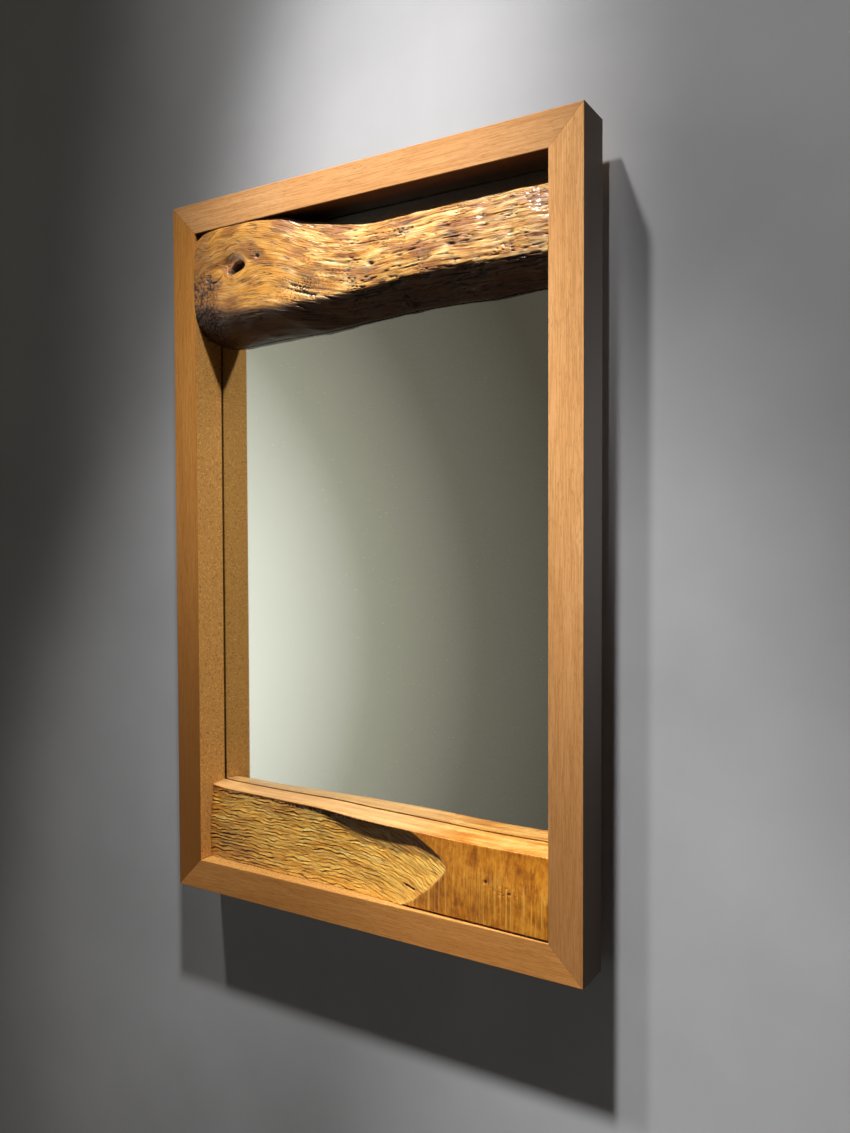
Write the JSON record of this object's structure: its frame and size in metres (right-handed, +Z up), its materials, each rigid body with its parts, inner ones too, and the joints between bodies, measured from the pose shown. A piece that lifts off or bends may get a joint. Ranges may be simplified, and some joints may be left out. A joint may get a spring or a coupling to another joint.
{
  "type": "wall mirror",
  "caption": "Tall rectangular wall mirror in a deep mitred wooden box frame, with a varnished branch across the top and a weathered beam offcut along the bottom.",
  "frame": {"origin": "centre of the back face of the wall cleat, on the wall's surface", "axes": "+X to the right along the wall as seen from the room, +Y into the wall, +Z up; the mirror faces -Y"},
  "size_m": [0.5, 0.066, 0.78],
  "materials": {
    "planed_hardwood": "planed and satin oiled",
    "branch_wood": "weathered, brushed and gloss varnished",
    "beam_wood": "weathered and sawn, gloss varnished",
    "beech_pin": "raw",
    "mirror_glass": "silvered float glass",
    "cork_strip": "raw cork",
    "plywood": "raw",
    "pine": "planed, raw",
    "zinc_steel": "yellow zinc plated",
    "grey_felt": "pressed felt"
  },
  "bodies": {
    "wall_cleat": {"wall_cleat": "pine"},
    "mirror": {"backing_board": "plywood", "biscuit_bottom_left": "beech_pin", "biscuit_bottom_right": "beech_pin", "biscuit_top_left": "beech_pin", "biscuit_top_right": "beech_pin", "board_screw_1": "zinc_steel", "board_screw_10": "zinc_steel", "board_screw_2": "zinc_steel", "board_screw_3": "zinc_steel", "board_screw_4": "zinc_steel", "board_screw_5": "zinc_steel", "board_screw_6": "zinc_steel", "board_screw_7": "zinc_steel", "board_screw_8": "zinc_steel", "board_screw_9": "zinc_steel", "bottom_offcut": "beam_wood", "bottom_packing_strip": "cork_strip", "bottom_rail": "planed_hardwood", "branch_dowel_left_lower": "beech_pin", "branch_dowel_left_upper": "beech_pin", "branch_dowel_right_lower": "beech_pin", "branch_dowel_right_upper": "beech_pin", "cleat_screw_1": "zinc_steel", "cleat_screw_2": "zinc_steel", "cleat_screw_3": "zinc_steel", "cleat_screw_4": "zinc_steel", "left_felt_pad": "grey_felt", "left_packing_strip": "cork_strip", "left_spacer": "pine", "left_stile": "planed_hardwood", "mirror_cleat": "pine", "mirror_glass": "mirror_glass", "offcut_screw_1": "zinc_steel", "offcut_screw_2": "zinc_steel", "offcut_screw_3": "zinc_steel", "right_felt_pad": "grey_felt", "right_packing_strip": "cork_strip", "right_spacer": "pine", "right_stile": "planed_hardwood", "top_branch": "branch_wood", "top_packing_strip": "cork_strip", "top_rail": "planed_hardwood"}
  },
  "joints": [
    {"name": "lift_off", "type": "slide", "parent": "wall_cleat", "child": "mirror", "axis": [0, 0, 1], "range_m": [0, 0.03]}
  ]
}
